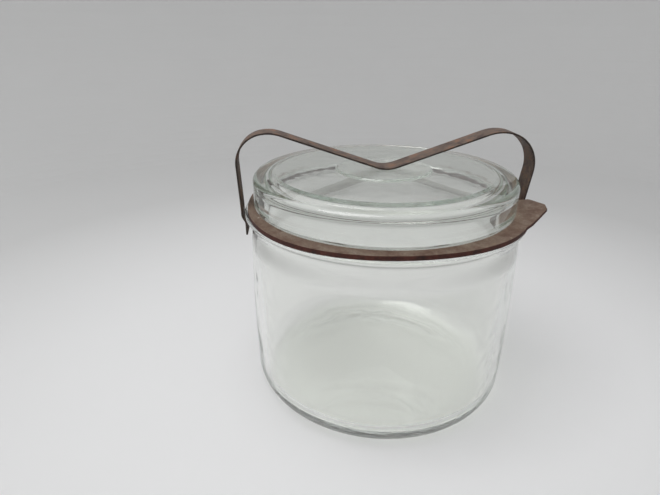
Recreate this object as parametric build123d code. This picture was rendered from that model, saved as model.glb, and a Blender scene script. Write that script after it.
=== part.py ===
"""Wide preserving jar with a glass lid, a flat rubber ring and a sprung steel clamp.

Millimetres. The origin is on the jar's axis, in the plane that it stands on. +Z is up and
+X runs along the clamp, towards the ring's pull tab.
"""
from build123d import *
import math
import os

# Jar: a shallow barrel of pressed glass with a rounded heel and an outward rim
FOOT_IN_R = 44.0          # inner edge of the ring that the jar stands on
PUSH_UP = 2.0             # height of the underside's hollow at the centre
PUSH_UP_MID = (31.0, 1.1) # radius and height of a point on the hollow's curve
HEEL_R = 10.3             # rounding between underside and side
BASE_R = 59.1             # outer radius just above the heel
BELLY_R = 59.5            # widest outer radius
BELLY_Z = 42.0
NECK_R = 58.25            # outer radius under the rim
NECK_Z = 81.5             # where the side starts to curve out into the rim
NECK_FILLET = 2.2
RIM_R = 61.0              # outer radius of the rim
RIM_ROUND = 0.9
RIM_Z = 85.7              # flat sealing face
MOUTH_R = 52.5
MOUTH_ROUND = 1.2
NECK_DEPTH = 7.0          # straight stretch of the mouth, below the sealing face
THROAT_DEPTH = 17.0       # where the inside reaches its full width, below the sealing face
THROAT_R = 54.85          # inner radius there
WALL = 4.0                # thickness of the side
FLOOR = 5.0               # height of the inside floor at its edge
FLOOR_CROWN = 1.2         # how much the floor rises towards the centre
FLOOR_FLAT_R = 33.0       # where the rise starts
INNER_HEEL_R = 7.5

# Rubber ring: flat, a little out of round where the clamp pins it, with a lifted pull tab
RING_IN_R = 51.5
RING_R = 60.5             # mean outer radius
RING_WAVE = 1.0           # radius lost beside the clamp and gained between, by cos(4 angle)
RING_T = 2.0
TAB_ANGLE = -16.0         # degrees round from +X
TAB_T = 1.3
TAB_SINK = 0.45           # height of the tab's root above the ring's underside
TAB_LIFT = 6.0            # degrees
TAB_OUTLINE = [           # distance out from the axis, distance along the tangent
    (54.5, 8.7),
    (63.0, 11.0),
    (68.4, 3.2),
    (68.2, -2.6),
    (60.2, -18.5),
    (54.5, -27.0),
]
TAB_ROUND = 1.6
SEAT_GAP = 0.05           # left between stacked pieces

# Lid: a cap of thick pressed glass with a low round boss for the clamp
LID_R = 56.3
LID_X = -0.6              # the lid lies a little off the ring's middle
LID_FOOT_ROUND = 1.2
LID_EDGE_Z = 100.3        # where the wall and the sloping shoulder would meet
LID_EDGE_ROUND = 2.5
LID_TOP_R = 46.5          # outer edge of the flat top
LID_TOP_Z = 101.8
LID_TOP_ROUND = 2.0
LID_PLATE = 3.6           # thickness of the top
LID_CAVITY_R = 50.5
LID_CAVITY_ROUND = 3.7
BOSS_R = 20.8
BOSS_SLOPE = 0.7          # radius lost up the boss's side
BOSS_Z = 102.4
BOSS_ROUND = 0.3

# Clamp: one strip of spring steel, bent by hand into an M that hooks under the rim at both
# ends. Its two halves differ a little.
STRIP_W = 9.6
STRIP_T = 0.75
STRIP_Y = -1.2            # the strip lies a little off the middle of the boss
V_R = 14.0                # bend where the strip bears on the boss
RIGHT_HALF = {
    "arm_rise": 18.7,     # degrees; shoulder_turn is the part turned on the larger radius
    "arm_end_x": 42.3,
    "shoulder_r": (18.1, 15.1),
    "shoulder_turn": 32.3,
    "leg_lean": 7.5,      # inward
}
LEFT_HALF = {
    "arm_rise": 19.2,
    "arm_end_x": 44.3,
    "shoulder_r": (16.1, 12.5),
    "shoulder_turn": 29.4,
    "leg_lean": 2.4,
}
KNEE_Z = 86.6
HOOK_TURN = 27.0          # degrees that the leg turns in under the rim
HOOK_R = 3.0
HOOK_DROP = 2.3           # straight stretch above the hook
HOOK_RUN = 1.8            # straight stretch between the hook's two bends
TIP_Z = 75.0


def point(radius, height):
    """A point of a turned outline, in the XZ plane."""
    return (radius, height)


def turned(outline):
    """The solid made by turning a closed outline, drawn as radius and height, about Z."""
    with BuildPart() as body:
        with BuildSketch(Plane.XZ):
            add(outline)
            make_face()
        revolve(axis=Axis.Z)
    return body.part


def glass_jar():
    """Jar turned about its axis, hollow underside to sealing face, then down the inside."""
    rim_under = NECK_Z + NECK_FILLET
    throat_z = RIM_Z - THROAT_DEPTH
    inner_base_r = BASE_R - WALL
    with BuildLine() as outline:
        hollow = ThreePointArc(
            point(0, PUSH_UP),
            point(*PUSH_UP_MID),
            point(FOOT_IN_R, 0),
        )
        foot = Line(hollow @ 1, point(BASE_R - HEEL_R, 0))
        heel = JernArc(foot @ 1, (1, 0), HEEL_R, 90)
        side = ThreePointArc(heel @ 1, point(BELLY_R, BELLY_Z), point(NECK_R, NECK_Z))
        neck = JernArc(side @ 1, (0, 1), NECK_FILLET, -80)
        under = Line(neck @ 1, point(RIM_R - RIM_ROUND, rim_under))
        lower = JernArc(under @ 1, (1, 0), RIM_ROUND, 90)
        edge = Line(lower @ 1, point(RIM_R, RIM_Z - RIM_ROUND))
        upper = JernArc(edge @ 1, (0, 1), RIM_ROUND, 90)
        land = Line(upper @ 1, point(MOUTH_R + MOUTH_ROUND, RIM_Z))
        lip = JernArc(land @ 1, (-1, 0), MOUTH_ROUND, 90)
        mouth = Line(lip @ 1, point(MOUTH_R, RIM_Z - NECK_DEPTH))
        throat = Spline(
            mouth @ 1,
            point(THROAT_R, throat_z),
            tangents=[(0, -1), (0.03, -1)],
        )
        inside = ThreePointArc(
            throat @ 1,
            point(BELLY_R - WALL, BELLY_Z),
            point(inner_base_r, FLOOR + INNER_HEEL_R),
        )
        inner_heel = JernArc(inside @ 1, (0, -1), INNER_HEEL_R, -90)
        floor = Line(inner_heel @ 1, point(FLOOR_FLAT_R, FLOOR))
        crown = Spline(
            floor @ 1,
            point(0, FLOOR + FLOOR_CROWN),
            tangents=[(-1, 0), (-1, 0)],
        )
        Line(crown @ 1, hollow @ 0)
    return turned(outline.line)


def ring_outline():
    """Closed curve round the ring, out of round by a wave of four lobes."""
    count = 32
    corners = []
    for k in range(count):
        angle = math.tau * k / count
        radius = RING_R - RING_WAVE * math.cos(4 * angle)
        corners.append((radius * math.cos(angle), radius * math.sin(angle)))
    return Spline(corners, periodic=True)


def rubber_ring(seat):
    """Flat ring lying on the jar's sealing face, with its pull tab lifted off the rim."""
    with BuildPart() as ring:
        with BuildSketch(Plane.XY.offset(seat)):
            with BuildLine():
                ring_outline()
            make_face()
            Circle(RING_IN_R, mode=Mode.SUBTRACT)
        extrude(amount=RING_T)
    with BuildPart() as tab:
        with BuildSketch():
            with BuildLine():
                Polyline(TAB_OUTLINE, close=True)
            make_face()
            fillet(sorted(vertices(), key=lambda v: v.X)[-3:], TAB_ROUND)
        extrude(amount=TAB_T)
    root = TAB_OUTLINE[0][0]
    lifted = tab.part.rotate(Axis((root, 0, 0), (0, 1, 0)), -TAB_LIFT)
    placed = Pos(0, 0, seat + TAB_SINK) * Rot(0, 0, TAB_ANGLE) * lifted
    return ring.part + placed


def glass_lid(seat):
    """Lid turned about its axis: cavity, foot, wall, sloping shoulder, flat top and boss."""
    ceiling_z = LID_TOP_Z - LID_PLATE
    corners = [
        (0, ceiling_z, 0),
        (LID_CAVITY_R, ceiling_z, LID_CAVITY_ROUND),
        (LID_CAVITY_R, seat, 0),
        (LID_R, seat, LID_FOOT_ROUND),
        (LID_R, LID_EDGE_Z, LID_EDGE_ROUND),
        (LID_TOP_R, LID_TOP_Z, LID_TOP_ROUND),
        (BOSS_R, LID_TOP_Z, 0),
        (BOSS_R - BOSS_SLOPE, BOSS_Z, BOSS_ROUND),
        (0, BOSS_Z, 0),
    ]
    with BuildLine() as outline:
        Polyline([(radius, height) for radius, height, _ in corners], close=True)
        for radius, height, rounding in corners:
            if rounding:
                corner = outline.vertices().sort_by_distance((radius, height, 0))[0]
                fillet(corner, rounding)
    return Pos(LID_X, 0, 0) * turned(outline.line)


def clamp_half(bearing_z, arm_rise, arm_end_x, shoulder_r, shoulder_turn, leg_lean):
    """Centre line of one half of the clamp, from the boss to the tip under the rim."""
    with BuildLine() as half:
        bend = JernArc((0, bearing_z + STRIP_T / 2), (1, 0), V_R, arm_rise)
        arm_run = (arm_end_x - (bend @ 1).X) / math.cos(math.radians(arm_rise))
        arm = Line(bend @ 1, (bend @ 1) + (bend % 1) * arm_run)
        wide = JernArc(arm @ 1, arm % 1, shoulder_r[0], -shoulder_turn)
        rest = arm_rise + 90 + leg_lean - shoulder_turn
        tight = JernArc(wide @ 1, wide % 1, shoulder_r[1], -rest)
        leg_run = ((tight @ 1).Y - KNEE_Z) / math.cos(math.radians(leg_lean))
        leg = Line(tight @ 1, (tight @ 1) + (tight % 1) * leg_run)
        knee = JernArc(leg @ 1, leg % 1, HOOK_R, leg_lean)
        drop = Line(knee @ 1, (knee @ 1) + (knee % 1) * HOOK_DROP)
        turn_in = JernArc(drop @ 1, drop % 1, HOOK_R, -HOOK_TURN)
        run = Line(turn_in @ 1, (turn_in @ 1) + (turn_in % 1) * HOOK_RUN)
        turn_out = JernArc(run @ 1, run % 1, HOOK_R, HOOK_TURN)
        Line(turn_out @ 1, ((turn_out @ 1).X, TIP_Z))
    return half.line


def strip_along(centre_line):
    """Strip of even width and thickness, standing on both sides of a centre line."""
    with BuildPart() as strip:
        with BuildSketch(Plane.XZ):
            trace(centre_line.edges(), line_width=STRIP_T)
        extrude(amount=STRIP_W / 2, both=True)
    return strip.part


def spring_clamp(bearing_z):
    """The right half and the mirrored left half, joined in the middle."""
    right = strip_along(clamp_half(bearing_z, **RIGHT_HALF))
    left = strip_along(clamp_half(bearing_z, **LEFT_HALF)).mirror(Plane.YZ)
    return Pos(0, STRIP_Y, 0) * (right + left)


def main():
    os.makedirs("parts", exist_ok=True)
    ring_seat = RIM_Z + SEAT_GAP
    lid_seat = ring_seat + RING_T + SEAT_GAP
    pieces = {
        "glass_jar": glass_jar(),
        "rubber_ring": rubber_ring(ring_seat),
        "glass_lid": glass_lid(lid_seat),
        "spring_clamp": spring_clamp(BOSS_Z + SEAT_GAP),
    }
    for name, piece in pieces.items():
        export_step(piece, f"parts/{name}.step")
        box = piece.bounding_box()
        size = ", ".join(f"{v:.1f}" for v in box.size)
        print(f"{name}: {len(piece.solids())} solid, {piece.volume / 1000:.1f} cm3, {size} mm")


if __name__ == "__main__":
    main()
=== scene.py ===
"""Glass preserving jar with its lid, rubber ring and sprung steel clamp, closed, on a pale floor.

The scene is in metres. The outlines repeat the design's own dimensions, in millimetres, and
new_object scales them by MM. Angles are in degrees.
"""

import math

import bpy
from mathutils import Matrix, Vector, noise


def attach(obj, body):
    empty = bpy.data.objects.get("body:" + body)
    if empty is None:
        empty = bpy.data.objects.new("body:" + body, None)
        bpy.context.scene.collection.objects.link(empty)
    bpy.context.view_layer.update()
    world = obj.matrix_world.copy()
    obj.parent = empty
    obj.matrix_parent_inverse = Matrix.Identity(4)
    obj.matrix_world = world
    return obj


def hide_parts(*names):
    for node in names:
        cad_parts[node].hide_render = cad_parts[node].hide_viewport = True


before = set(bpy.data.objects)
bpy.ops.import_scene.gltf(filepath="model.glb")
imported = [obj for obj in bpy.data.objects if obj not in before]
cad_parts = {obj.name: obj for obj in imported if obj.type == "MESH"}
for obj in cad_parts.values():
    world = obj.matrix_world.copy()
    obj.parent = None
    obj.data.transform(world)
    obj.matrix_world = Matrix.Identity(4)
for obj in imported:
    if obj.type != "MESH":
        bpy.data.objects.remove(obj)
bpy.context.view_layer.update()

MM = 0.001
GLASS_SEGMENTS, RING_SEGMENTS, FLOOR_SEGMENTS = 256, 360, 96


# ---------------------------------------------------------------- sizes, as the design has them

# Jar
FOOT_IN_R, PUSH_UP, PUSH_UP_MID = 44.0, 2.0, (31.0, 1.1)
HEEL_R, BASE_R, BELLY_R, BELLY_Z = 10.3, 59.1, 59.5, 42.0
NECK_R, NECK_Z, NECK_FILLET = 58.25, 81.5, 2.2
RIM_R, RIM_ROUND, RIM_Z = 61.0, 0.9, 85.7
MOUTH_R, MOUTH_ROUND, NECK_DEPTH = 52.5, 1.2, 7.0
THROAT_DEPTH, THROAT_R = 17.0, 54.85
WALL, FLOOR, FLOOR_CROWN, FLOOR_FLAT_R, INNER_HEEL_R = 4.0, 5.0, 1.2, 33.0, 7.5

# The gap left between stacked pieces
GAP = 0.05

# Rubber ring; the tab's outline is distance out, distance along and corner radius
RING_IN_R, RING_R, RING_WAVE, RING_T = 51.5, 60.5, 1.0, 2.0
RING_SEAT = RIM_Z + GAP
TAB_ANGLE, TAB_LIFT, TAB_T, TAB_SINK, TAB_ROUND = -16.0, 6.0, 1.3, 0.45, 1.6
TAB_ROOT_R = 54.5
TAB_MIDDLE = (60.0, -5.0)
TAB_OUTLINE = [
    (TAB_ROOT_R, 8.7, 0),
    (63.0, 11.0, TAB_ROUND),
    (68.4, 3.2, TAB_ROUND),
    (68.2, -2.6, TAB_ROUND),
    (60.2, -18.5, 0),
    (TAB_ROOT_R, -27.0, 0),
]

# Lid
LID_SEAT = RING_SEAT + RING_T + GAP
LID_R, LID_X, LID_FOOT_ROUND = 56.3, -0.6, 1.2
LID_EDGE_Z, LID_EDGE_ROUND = 100.3, 2.5
LID_TOP_R, LID_TOP_Z, LID_TOP_ROUND = 46.5, 101.8, 2.0
LID_PLATE, LID_CAVITY_R, LID_CAVITY_ROUND = 3.6, 50.5, 3.7
BOSS_R, BOSS_SLOPE, BOSS_Z, BOSS_ROUND = 20.8, 0.7, 102.4, 0.3

# Clamp; each half has its arm's rise and end, its shoulder's radii and turn, and its leg's lean
STRIP_W, STRIP_T, STRIP_Y, V_R = 9.6, 0.75, -1.2, 14.0
RIGHT_HALF = (18.7, 42.3, (18.1, 15.1), 32.3, 7.5)
LEFT_HALF = (19.2, 44.3, (16.1, 12.5), 29.4, 2.4)
KNEE_Z, HOOK_TURN, HOOK_R, HOOK_DROP, HOOK_RUN, TIP_Z = 86.6, 27, 3.0, 2.3, 1.8, 75.0


# ---------------------------------------------------------------- looks of the glass

# The tint absorbs by density per metre; the shadow colour is what shadow rays pass through
GLASS_IOR = 1.52
GLASS_TINT = (0.62, 0.80, 0.68, 1)
GLASS_SHADOW = (0.865, 0.87, 0.86, 1)

# The boss's scratches, out to a radius in metres
SCRATCH_STRENGTH, SCRATCH_ROUGHNESS, SCRATCH_R = 0.30, 0.03, 0.0205


# ---------------------------------------------------------------- outlines and meshes

class Pen:
    """Draws an outline as points, in millimetres: straight runs, arcs and eased curves."""

    def __init__(self, x, y, heading):
        self.points = [(x, y)]
        self.heading = math.radians(heading)

    def face(self, degrees):
        """Sets the direction for the next arc or curve."""
        self.heading = math.radians(degrees)
        return self

    def go(self, x, y, steps=1):
        """A straight run to a point."""
        x0, y0 = self.points[-1]
        for k in range(1, steps + 1):
            self.points.append((x0 + (x - x0) * k / steps, y0 + (y - y0) * k / steps))
        self.heading = math.atan2(y - y0, x - x0)
        return self

    def run(self, length, steps=1):
        """A straight run of a length, in the present direction."""
        x, y = self.points[-1]
        return self.go(x + length * math.cos(self.heading), y + length * math.sin(self.heading), steps)

    def turn(self, radius, degrees, steps):
        """An arc that starts in the present direction and turns left, or right if negative."""
        x, y = self.points[-1]
        side = math.copysign(1, degrees)
        cx = x - side * radius * math.sin(self.heading)
        cy = y + side * radius * math.cos(self.heading)
        for k in range(1, steps + 1):
            a = self.heading + math.radians(degrees) * k / steps
            self.points.append((cx + side * radius * math.sin(a), cy - side * radius * math.cos(a)))
        self.heading += math.radians(degrees)
        return self

    def ease(self, x, y, heading, steps):
        """A smooth curve to a point, leaving and arriving in given directions."""
        x0, y0 = self.points[-1]
        reach = math.hypot(x - x0, y - y0)
        end = math.radians(heading)
        a = (reach * math.cos(self.heading), reach * math.sin(self.heading))
        b = (reach * math.cos(end), reach * math.sin(end))
        for k in range(1, steps + 1):
            t = k / steps
            h0 = 2 * t**3 - 3 * t**2 + 1
            h1 = t**3 - 2 * t**2 + t
            h2 = 3 * t**2 - 2 * t**3
            h3 = t**3 - t**2
            self.points.append((
                h0 * x0 + h1 * a[0] + h2 * x + h3 * b[0],
                h0 * y0 + h1 * a[1] + h2 * y + h3 * b[1],
            ))
        self.heading = end
        return self

    def bow(self, mid, end, steps):
        """A circular arc through a middle point to an end point."""
        (ax, ay), (bx, by), (cx, cy) = self.points[-1], mid, end
        d = 2 * (ax * (by - cy) + bx * (cy - ay) + cx * (ay - by))
        a2, b2, c2 = ax * ax + ay * ay, bx * bx + by * by, cx * cx + cy * cy
        ux = (a2 * (by - cy) + b2 * (cy - ay) + c2 * (ay - by)) / d
        uy = (a2 * (cx - bx) + b2 * (ax - cx) + c2 * (bx - ax)) / d
        r = math.hypot(ax - ux, ay - uy)
        start = math.atan2(ay - uy, ax - ux)
        sweep = (math.atan2(cy - uy, cx - ux) - start + math.pi) % math.tau - math.pi
        for k in range(1, steps + 1):
            a = start + sweep * k / steps
            self.points.append((ux + r * math.cos(a), uy + r * math.sin(a)))
        self.heading = start + sweep + math.copysign(math.pi / 2, sweep)
        return self


def polygon(corners, steps):
    """An outline with rounded corners, from corners given as x, y and radius."""
    points = []
    for k, (x, y, radius) in enumerate(corners):
        if not radius:
            points.append((x, y))
            continue
        here = Vector((x, y))
        before = (Vector(corners[k - 1][:2]) - here).normalized()
        after = (Vector(corners[(k + 1) % len(corners)][:2]) - here).normalized()
        half = before.angle(after) / 2
        centre = here + (before + after).normalized() * radius / math.sin(half)
        a = here + before * radius / math.tan(half) - centre
        b = here + after * radius / math.tan(half) - centre
        start = math.atan2(a.y, a.x)
        sweep = (math.atan2(b.y, b.x) - start + math.pi) % math.tau - math.pi
        for n in range(steps + 1):
            angle = start + sweep * n / steps
            points.append((centre.x + radius * math.cos(angle), centre.y + radius * math.sin(angle)))
    return points


def supported(outline):
    """Divides every long run, with a point close to each end, so that flats keep flat normals."""
    long_run, spacing, inset = 0.9, 2.0, 0.03
    points = [outline[0]]
    for (x0, y0), (x1, y1) in zip(outline, outline[1:]):
        length = math.hypot(x1 - x0, y1 - y0)
        if length > long_run:
            count = max(1, int(length / spacing))
            parts = [inset / length] + [k / count for k in range(1, count)] + [1 - inset / length]
            points += [(x0 + (x1 - x0) * t, y0 + (y1 - y0) * t) for t in parts]
        points.append((x1, y1))
    return points


def new_object(name, verts, faces, sharp=30):
    """An object from millimetre points, shaded smooth except across edges above an angle."""
    mesh = bpy.data.meshes.new(name)
    mesh.from_pydata([Vector(v) * MM for v in verts], [], faces)
    mesh.validate()
    mesh.update()
    obj = bpy.data.objects.new(name, mesh)
    bpy.context.scene.collection.objects.link(obj)
    mesh.shade_smooth()
    mesh.set_sharp_from_angle(angle=math.radians(sharp))
    return obj


def lathe(name, outline, segments, shift=Vector):
    """Turns an outline of radius and height about Z, then passes each point through shift."""
    on_axis = 1e-6
    rows, verts, faces = [], [], []
    for r, z in supported(outline):
        count = 1 if r < on_axis else segments
        rows.append(range(len(verts), len(verts) + count))
        for k in range(count):
            a = math.tau * k / segments
            verts.append(shift(Vector((r * math.cos(a), r * math.sin(a), z))))
    for low, high in zip(rows, rows[1:]):
        for k in range(segments):
            m = (k + 1) % segments
            if len(low) == 1:
                faces.append((low[0], high[m], high[k]))
            elif len(high) == 1:
                faces.append((low[k], low[m], high[0]))
            else:
                faces.append((low[k], low[m], high[m], high[k]))
    return new_object(name, verts, faces)


# ---------------------------------------------------------------- materials

def material(name):
    """A new node material with its Principled shader and a helper that adds nodes."""
    mat = bpy.data.materials.new(name)
    mat.use_nodes = True
    nodes, links = mat.node_tree.nodes, mat.node_tree.links
    shader = next(n for n in nodes if n.type == "BSDF_PRINCIPLED")

    def add(kind, values=None, **settings):
        node = nodes.new(kind)
        for key, value in settings.items():
            setattr(node, key, value)
        for key, value in (values or {}).items():
            if isinstance(value, bpy.types.NodeSocket):
                links.new(value, node.inputs[key])
            else:
                node.inputs[key].default_value = value
        return node

    return mat, shader, add, links


def noise_at(add, place, scale, detail=4.0, roughness=0.6):
    """A noise texture's value, spread over the object's own coordinates."""
    texture = add("ShaderNodeTexNoise", {
        "Vector": place, "Scale": scale, "Detail": detail, "Roughness": roughness,
    })
    return texture.outputs["Fac"]


def ramp(add, value, stops):
    """A colour ramp through stops of position and colour."""
    node = add("ShaderNodeValToRGB", {"Fac": value})
    band = node.color_ramp
    while len(band.elements) < len(stops):
        band.elements.new(0.5)
    for element, (position, colour) in zip(band.elements, stops):
        element.position = position
        element.color = (*colour, 1)
    return node.outputs["Color"]


def map_range(add, value, low, high, to_low, to_high):
    """A value's range from low to high, stretched to another range and clamped."""
    node = add("ShaderNodeMapRange", {
        "Value": value, "From Min": low, "From Max": high, "To Min": to_low, "To Max": to_high,
    })
    return node.outputs["Result"]


def glass_material(name, colour, density, wave, haze, worn_radius=0.0):
    """Old pressed glass: faint waves and pits, dusty haze, a green-grey tint, a scratched boss.

    wave is the strength of the waves, haze the most that the dust adds to the roughness, and
    worn_radius the reach of the scratches from the axis, in metres.
    """
    mat, shader, add, links = material(name)
    shader.inputs["Base Color"].default_value = colour
    shader.inputs["IOR"].default_value = GLASS_IOR
    shader.inputs["Transmission Weight"].default_value = 1.0
    place = add("ShaderNodeTexCoord").outputs["Object"]
    slow = noise_at(add, place, 55.0, 2.0, 0.5)
    specks = noise_at(add, place, 1100.0, 4.0, 0.75)
    waves = add("ShaderNodeBump", {"Height": slow, "Strength": wave, "Distance": 0.0008})
    pits = add("ShaderNodeBump", {
        "Height": specks, "Strength": 0.10, "Distance": 0.00002,
        "Normal": waves.outputs["Normal"],
    })
    dull = map_range(add, noise_at(add, place, 120.0, 6.0, 0.65), 0.45, 0.8, 0.0, haze)
    normal = pits.outputs["Normal"]
    if worn_radius:
        flat = add("ShaderNodeVectorMath", {0: place, 1: (1.0, 1.0, 0.0)}, operation="MULTIPLY")
        out = add("ShaderNodeVectorMath", {0: flat.outputs[0]}, operation="LENGTH").outputs["Value"]
        inside = map_range(add, out, worn_radius, worn_radius * 0.95, 0.0, 1.0)
        streaks = add("ShaderNodeMapping", {
            "Vector": place, "Scale": (1.0, 7.0, 1.0), "Rotation": (0.0, 0.0, 0.4),
        })
        scratch = noise_at(add, streaks.outputs[0], 260.0, 6.0, 0.8)
        lightly = add("ShaderNodeMath", {0: inside, 1: SCRATCH_STRENGTH}, operation="MULTIPLY")
        scored = add("ShaderNodeBump", {
            "Height": scratch, "Strength": lightly.outputs[0],
            "Distance": 0.00025, "Normal": normal,
        })
        normal = scored.outputs["Normal"]
        dull = add("ShaderNodeMath", {0: inside, 1: SCRATCH_ROUGHNESS, 2: dull},
                   operation="MULTIPLY_ADD").outputs[0]
    links.new(normal, shader.inputs["Normal"])
    links.new(dull, shader.inputs["Roughness"])
    output = next(n for n in mat.node_tree.nodes if n.type == "OUTPUT_MATERIAL")
    volume = add("ShaderNodeVolumeAbsorption", {"Color": GLASS_TINT, "Density": density})
    links.new(volume.outputs[0], output.inputs["Volume"])
    path = add("ShaderNodeLightPath")
    clear = add("ShaderNodeBsdfTransparent", {"Color": GLASS_SHADOW})
    mix = add("ShaderNodeMixShader", {0: path.outputs["Is Shadow Ray"]})
    links.new(shader.outputs[0], mix.inputs[1])
    links.new(clear.outputs[0], mix.inputs[2])
    links.new(mix.outputs[0], output.inputs["Surface"])
    return mat


def rubber_material():
    """Perished red rubber: a dusty brown top, darker red sides with painted shade on them, fine grain
    and pale specks.
    """
    mat, shader, add, links = material("perished_rubber")
    geometry = add("ShaderNodeNewGeometry")
    place = add("ShaderNodeTexCoord").outputs["Object"]
    up = add("ShaderNodeSeparateXYZ", {0: geometry.outputs["Normal"]}).outputs["Z"]
    stain = noise_at(add, place, 220.0, 7.0, 0.72)
    fine = noise_at(add, place, 1400.0, 4.0, 0.7)
    dusty = ramp(add, stain, [
        (0.32, (0.090, 0.044, 0.030)),
        (0.50, (0.165, 0.110, 0.080)),
        (0.68, (0.240, 0.190, 0.150)),
    ])
    # The sides' dark red is partly the rubber's own red and partly painted shade.
    red_edge_with_shade = ramp(add, stain, [
        (0.30, (0.022, 0.012, 0.010)),
        (0.50, (0.070, 0.022, 0.016)),
        (0.72, (0.120, 0.040, 0.028)),
    ])
    # Mask by the normal: upward faces take the dust, the sides and underside take the dark red with
    # its painted shade.
    dust_top_shaded_sides_mask = map_range(add, up, 0.25, 0.9, 0.0, 1.0)
    body = add("ShaderNodeMix", {0: dust_top_shaded_sides_mask, 6: red_edge_with_shade, 7: dusty}, data_type="RGBA")
    grain = map_range(add, fine, 0.35, 0.65, 0.78, 1.16)
    grained = add("ShaderNodeMix", {0: 1.0, 6: body.outputs[2], 7: grain},
                  data_type="RGBA", blend_type="MULTIPLY")
    cells = add("ShaderNodeTexVoronoi", {"Vector": place, "Scale": 260.0, "Randomness": 1.0})
    near = map_range(add, cells.outputs["Distance"], 0.10, 0.17, 1.0, 0.0)
    draw = add("ShaderNodeSeparateColor", {0: cells.outputs["Color"]}).outputs[0]
    chosen = map_range(add, draw, 0.91, 0.92, 0.0, 1.0)
    speck = add("ShaderNodeMath", {0: near, 1: chosen}, operation="MULTIPLY").outputs[0]
    shown = add("ShaderNodeMath", {0: speck, 1: dust_top_shaded_sides_mask}, operation="MULTIPLY").outputs[0]
    chalked = add("ShaderNodeMix", {0: shown, 6: grained.outputs[2], 7: (0.5, 0.47, 0.42, 1)},
                  data_type="RGBA")
    links.new(chalked.outputs[2], shader.inputs["Base Color"])
    links.new(map_range(add, stain, 0.3, 0.7, 0.62, 0.85), shader.inputs["Roughness"])
    shader.inputs["Specular IOR Level"].default_value = 0.3
    relief = add("ShaderNodeMath", {0: fine, 1: stain}, operation="ADD").outputs[0]
    bump = add("ShaderNodeBump", {"Height": relief, "Strength": 0.6, "Distance": 0.00018})
    links.new(bump.outputs["Normal"], shader.inputs["Normal"])
    return mat


def rust_material():
    """Dark spring steel with a brown patina, mottled and pitted, and nearly black at its narrow edges,
    which is painted shade.
    """
    mat, shader, add, links = material("patinated_steel")
    place = add("ShaderNodeTexCoord").outputs["Object"]
    blotch = noise_at(add, place, 240.0, 7.0, 0.7)
    grit = noise_at(add, place, 1500.0, 5.0, 0.75)
    mixed = add("ShaderNodeMath", {0: blotch, 1: 0.6}, operation="MULTIPLY").outputs[0]
    mixed = add("ShaderNodeMath", {0: grit, 1: 0.4, 2: mixed}, operation="MULTIPLY_ADD").outputs[0]
    colour = ramp(add, mixed, [
        (0.38, (0.022, 0.014, 0.012)),
        (0.45, (0.085, 0.046, 0.034)),
        (0.51, (0.140, 0.108, 0.086)),
        (0.58, (0.210, 0.110, 0.068)),
    ])
    # Painted shade: faces that turn along Y, the strip's narrow edges, are darkened to about a third.
    normal = add("ShaderNodeNewGeometry").outputs["Normal"]
    side = add("ShaderNodeSeparateXYZ", {0: normal}).outputs["Y"]
    side = add("ShaderNodeMath", {0: side}, operation="ABSOLUTE").outputs[0]
    shade = map_range(add, side, 0.35, 0.9, 1.0, 0.35)
    # The patina colour, multiplied by the painted shade on the narrow edges.
    worn = add("ShaderNodeMix", {0: 1.0, 6: colour, 7: shade},
               data_type="RGBA", blend_type="MULTIPLY")
    links.new(worn.outputs[2], shader.inputs["Base Color"])
    links.new(map_range(add, mixed, 0.42, 0.56, 0.25, 0.0), shader.inputs["Metallic"])
    links.new(map_range(add, mixed, 0.40, 0.60, 0.45, 0.80), shader.inputs["Roughness"])
    bump = add("ShaderNodeBump", {"Height": mixed, "Strength": 0.6, "Distance": 0.00025})
    links.new(bump.outputs["Normal"], shader.inputs["Normal"])
    return mat


def paint_material(name, near, far):
    """Matt paint, barely uneven, with painted light and shade: lighter near the jar and darker farther
    out along the floor and up the wall.
    """
    mat, shader, add, links = material(name)
    place = add("ShaderNodeTexCoord").outputs["Object"]
    away = add("ShaderNodeVectorMath", {0: place}, operation="LENGTH").outputs["Value"]
    # Painted light and shade by distance from the jar's axis, not a real difference in the paint.
    light_falloff = map_range(add, away, 0.08, 0.32, 0.0, 1.0)
    painted_light_tone = add("ShaderNodeMix", {0: light_falloff, 6: (*near, 1), 7: (*far, 1)}, data_type="RGBA")
    cloud = map_range(add, noise_at(add, place, 6.0), 0.3, 0.7, 0.985, 1.0)
    paint = add("ShaderNodeMix", {0: 1.0, 6: painted_light_tone.outputs[2], 7: cloud},
                data_type="RGBA", blend_type="MULTIPLY")
    links.new(paint.outputs[2], shader.inputs["Base Color"])
    shader.inputs["Roughness"].default_value = 0.6
    shader.inputs["Specular IOR Level"].default_value = 0.25
    return mat


# ---------------------------------------------------------------- glass jar and lid

def jar_outline():
    """From the middle of the hollow underside, up the outside, over the rim and down the inside."""
    pen = Pen(0, PUSH_UP, 0)
    pen.bow(PUSH_UP_MID, (FOOT_IN_R, 0), 24)
    pen.go(BASE_R - HEEL_R, 0).face(0).turn(HEEL_R, 90, 24)
    pen.bow((BELLY_R, BELLY_Z), (NECK_R, NECK_Z), 40)
    pen.face(90).turn(NECK_FILLET, -80, 10)
    pen.go(RIM_R - RIM_ROUND, NECK_Z + NECK_FILLET).face(0).turn(RIM_ROUND, 90, 10)
    pen.go(RIM_R, RIM_Z - RIM_ROUND).turn(RIM_ROUND, 90, 10)
    pen.go(MOUTH_R + MOUTH_ROUND, RIM_Z).turn(MOUTH_ROUND, 90, 10)
    pen.go(MOUTH_R, RIM_Z - NECK_DEPTH).ease(THROAT_R, RIM_Z - THROAT_DEPTH, -88, 18)
    pen.bow((BELLY_R - WALL, BELLY_Z), (BASE_R - WALL, FLOOR + INNER_HEEL_R), 40)
    pen.face(-90).turn(INNER_HEEL_R, -90, 20)
    pen.go(FLOOR_FLAT_R, FLOOR).ease(0, FLOOR + FLOOR_CROWN, 180, 24)
    return pen.points


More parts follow.
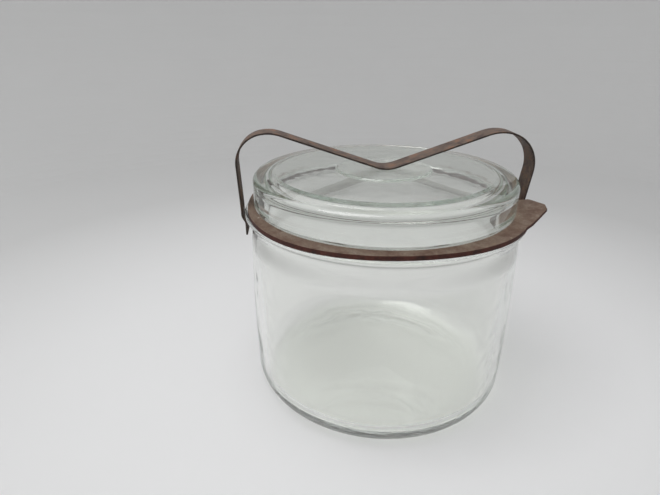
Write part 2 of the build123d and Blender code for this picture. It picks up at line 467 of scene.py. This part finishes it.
def uneven_inside(point):
    """Makes the jar's inner wall uneven by a tenth or so, as it is in pressed glass."""
    low, high, fade_length, inner_r, depth = 12, 76, 12, 56.6, 0.16
    radius = math.hypot(point.x, point.y)
    if not (low < point.z < high and radius < inner_r):
        return point
    fade = min(1, (point.z - low) / fade_length, (high - point.z) / fade_length)
    place = Vector((point.x * 0.045, point.y * 0.045, point.z * 0.03))
    sag = depth * noise.noise(place + Vector((3.1, 7.7, 1.3))) * fade
    scale = (radius + sag) / radius
    return Vector((point.x * scale, point.y * scale, point.z))


def lid_outline():
    """From the axis under the top, out and down the cavity, up the outside and over the boss."""
    under_top = LID_TOP_Z - LID_PLATE
    return polygon([
        (0, under_top, 0),
        (LID_CAVITY_R, under_top, LID_CAVITY_ROUND),
        (LID_CAVITY_R, LID_SEAT, 0),
        (LID_R, LID_SEAT, LID_FOOT_ROUND),
        (LID_R, LID_EDGE_Z, LID_EDGE_ROUND),
        (LID_TOP_R, LID_TOP_Z, LID_TOP_ROUND),
        (BOSS_R, LID_TOP_Z, 0),
        (BOSS_R - BOSS_SLOPE, BOSS_Z, BOSS_ROUND),
        (0, BOSS_Z, 0),
    ], 10)


def add_jar():
    jar = lathe("jar", jar_outline(), GLASS_SEGMENTS, uneven_inside)
    colour = (0.98, 0.985, 0.97, 1)
    glass = glass_material("jar_glass", colour, density=2.0, wave=0.3, haze=0.03)
    jar.data.materials.append(glass)
    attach(jar, "jar")
    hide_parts("glass_jar")


def add_lid():
    lid = lathe("lid", lid_outline(), GLASS_SEGMENTS, lambda p: p + Vector((LID_X, 0, 0)))
    colour = (0.945, 0.955, 0.93, 1)
    glass = glass_material("lid_glass", colour, 6.5, wave=0.12, haze=0.04, worn_radius=SCRATCH_R)
    lid.data.materials.append(glass)
    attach(lid, "lid")
    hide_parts("glass_lid")


# ---------------------------------------------------------------- rubber ring

def band(rings, closed):
    """Faces between one loop of points and the next, with end caps unless the band is closed."""
    count = len(rings[0])
    faces = []
    last = len(rings) if closed else len(rings) - 1
    for k in range(last):
        low, high = k * count, (k + 1) % len(rings) * count
        for n in range(count):
            m = (n + 1) % count
            faces.append((low + n, low + m, high + m, high + n))
    if not closed:
        faces.append(tuple(range(count))[::-1])
        faces.append(tuple(range((len(rings) - 1) * count, len(rings) * count)))
    return [p for ring in rings for p in ring], faces


def ring_loops():
    """The ring's section at each angle, its outer edge nibbled and its top worn a little low."""
    edge_round, nibble, wear = 0.1, 0.12, 0.06
    section = polygon([(u, z, edge_round) for u, z in ((0, 0), (1, 0), (1, RING_T), (0, RING_T))], 3)
    loops = []
    for k in range(RING_SEGMENTS):
        a = math.tau * k / RING_SEGMENTS
        worn = nibble * abs(noise.noise(Vector((9 * math.cos(a), 9 * math.sin(a), 2.2))))
        outer = RING_R - RING_WAVE * math.cos(4 * a) - worn
        dip = wear * noise.noise(Vector((14 * math.cos(a), 14 * math.sin(a), 7.9)))
        loop = []
        for u, z in section:
            r = RING_IN_R + u * (outer - RING_IN_R)
            height = z - max(0, dip) * (z > RING_T / 2)
            loop.append((r * math.cos(a), r * math.sin(a), RING_SEAT + height))
        loops.append(loop)
    return loops


def tab_loops():
    """The tab's outline at six heights, drawn in towards both faces, lifted and turned."""
    heights_and_insets = (
        (0, 0.25), (0.12, 0.05), (0.3, 0), (1.0, 0), (1.18, 0.06), (TAB_T, 0.28),
    )
    middle = Vector(TAB_MIDDLE)
    lift, turn = math.radians(TAB_LIFT), math.radians(TAB_ANGLE)
    loops = []
    for z, inset in heights_and_insets:
        loop = []
        for x, y in polygon(TAB_OUTLINE, 8):
            inward = (middle - Vector((x, y))).normalized() * inset
            out, side = x + inward.x - TAB_ROOT_R, y + inward.y
            far = TAB_ROOT_R + out * math.cos(lift) - z * math.sin(lift)
            up = out * math.sin(lift) + z * math.cos(lift)
            loop.append((
                far * math.cos(turn) - side * math.sin(turn),
                far * math.sin(turn) + side * math.cos(turn),
                RING_SEAT + TAB_SINK + up,
            ))
        loops.append(loop)
    return loops


def add_ring():
    verts, faces = band(ring_loops(), True)
    more, tab_faces = band(tab_loops(), False)
    faces += [tuple(n + len(verts) for n in face) for face in tab_faces]
    ring = new_object("ring", verts + more, faces, 40)
    ring.data.materials.append(rubber_material())
    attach(ring, "ring")
    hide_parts("rubber_ring")


# ---------------------------------------------------------------- spring clamp

def clamp_half(rise, end_x, shoulder, shoulder_turn, lean):
    """Centre line of one half, from the boss to the tip, as X and Z."""
    pen = Pen(0, BOSS_Z + GAP + STRIP_T / 2, 0)
    pen.turn(V_R, rise, 10)
    pen.run((end_x - pen.points[-1][0]) / math.cos(math.radians(rise)), 14)
    pen.turn(shoulder[0], -shoulder_turn, 18)
    pen.turn(shoulder[1], shoulder_turn - rise - 90 - lean, 36)
    pen.run((pen.points[-1][1] - KNEE_Z) / math.cos(math.radians(lean)), 12)
    pen.turn(HOOK_R, lean, 3).run(HOOK_DROP, 2)
    pen.turn(HOOK_R, -HOOK_TURN, 6).run(HOOK_RUN).turn(HOOK_R, HOOK_TURN, 6)
    pen.go(pen.points[-1][0], TIP_Z, 5)
    return pen.points


def add_clamp():
    """One strip with softened edges, a little unevenly rolled, along both halves."""
    edge_round, narrowing = 0.16, 0.08
    right, left = clamp_half(*RIGHT_HALF), clamp_half(*LEFT_HALF)
    line = [Vector((-x, z)) for x, z in reversed(left[1:])] + [Vector(p) for p in right]
    w, t = STRIP_W / 2, STRIP_T / 2
    section = polygon([(x, y, edge_round) for x, y in ((-w, -t), (w, -t), (w, t), (-w, t))], 4)
    loops = []
    for k, here in enumerate(line):
        along = (line[min(k + 1, len(line) - 1)] - line[max(k - 1, 0)]).normalized()
        normal = Vector((-along.y, along.x))
        uneven = narrowing * noise.noise(Vector((here.x * 0.12, here.y * 0.12, 4.4)))
        loop = []
        for y, n in section:
            narrowed = y * (1 - abs(uneven) / w)
            place = here + normal * n
            loop.append((place.x, STRIP_Y + narrowed, place.y))
        loops.append(loop)
    verts, faces = band(loops, False)
    clamp = new_object("clamp", verts, faces, 40)
    clamp.data.materials.append(rust_material())
    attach(clamp, "clamp")
    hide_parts("spring_clamp")


# ---------------------------------------------------------------- floor, light and camera

def add_stage():
    """Pale floor, just below the jar's foot, that curves up into a wall all round."""
    floor_z, flat_r, curve_r, wall_top = -0.08, 450, 300, 800
    pen = Pen(0, floor_z, 0)
    pen.go(flat_r, floor_z, 4).turn(curve_r, 90, 24).go(flat_r + curve_r, wall_top, 2)
    floor = lathe("floor", pen.points, FLOOR_SEGMENTS)
    # The first colour is a painted pool of light round the jar, the second painted shade on the far
    # floor and wall.
    paint = paint_material("floor_paint", (0.86, 0.86, 0.86), (0.61, 0.61, 0.605))
    floor.data.materials.append(paint)


def add_light():
    """One soft lamp high on the left, aimed at the jar, in an even pale surround."""
    place, target = Vector((-0.25, -0.15, 0.75)), Vector((0, 0, 0.05))
    data = bpy.data.lights.new("key", "AREA")
    data.shape = "DISK"
    data.size = 0.5
    data.energy = 2.5
    light = bpy.data.objects.new("key", data)
    bpy.context.scene.collection.objects.link(light)
    light.location = place
    light.rotation_euler = (target - place).to_track_quat("-Z", "Y").to_euler()
    world = bpy.data.worlds.new("world")
    bpy.context.scene.world = world
    world.use_nodes = True
    background = world.node_tree.nodes["Background"]
    background.inputs["Color"].default_value = (0.975, 0.98, 1.0, 1)
    background.inputs["Strength"].default_value = 0.78


def add_camera():
    """The photograph's viewing angle, with the lens that goes with a 36 mm wide sensor."""
    data = bpy.data.cameras.new("camera")
    data.sensor_width = 36.0
    data.lens = 25.87
    data.clip_start = 0.01
    camera = bpy.data.objects.new("camera", data)
    bpy.context.scene.collection.objects.link(camera)
    camera.location = (-0.0390, -0.1990, 0.1547)
    camera.rotation_euler = (math.radians(65.78), math.radians(0.06), math.radians(-4.40))
    bpy.context.scene.camera = camera


def render_settings():
    """Plain tones, and enough bounces for light that is piped a long way inside the glass."""
    scene = bpy.context.scene
    scene.view_settings.view_transform = "Standard"
    scene.cycles.max_bounces = 40
    scene.cycles.transmission_bounces = 40
    scene.cycles.glossy_bounces = 40
    scene.cycles.diffuse_bounces = 4
    scene.cycles.transparent_max_bounces = 24
    scene.cycles.caustics_reflective = False


add_jar()
add_lid()
add_ring()
add_clamp()
add_stage()
add_light()
add_camera()
render_settings()
